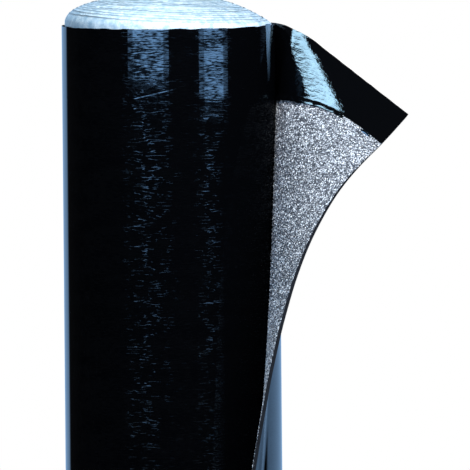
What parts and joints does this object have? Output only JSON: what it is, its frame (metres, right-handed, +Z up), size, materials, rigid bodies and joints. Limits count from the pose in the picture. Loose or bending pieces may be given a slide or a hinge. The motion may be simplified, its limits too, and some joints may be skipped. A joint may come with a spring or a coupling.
{
  "type": "roll of roofing felt",
  "caption": "Upright roll of mineral-faced roofing felt with an open eye; the top corner of its free end is folded out and shows the granule face and the bare edge strip.",
  "frame": {"origin": "on the axis of the eye, in the plane of the bottom end that stands on the floor", "axes": "+Z up along the axis of the roll, -Y towards the viewer of the picture, +X towards the folded corner"},
  "size_m": [0.3858, 0.2795, 1.0319],
  "materials": {
    "felt": "black bitumen under a thin glossy film",
    "film": "thin glossy black film with fine crinkles",
    "granules": "blue-grey mineral granules",
    "edge": "cut bitumen edge",
    "liner": "thin pale film that stands out of the turns at the top end and lies over them"
  },
  "bodies": {
    "root": {"felt_roll": "felt"}
  },
  "joints": []
}
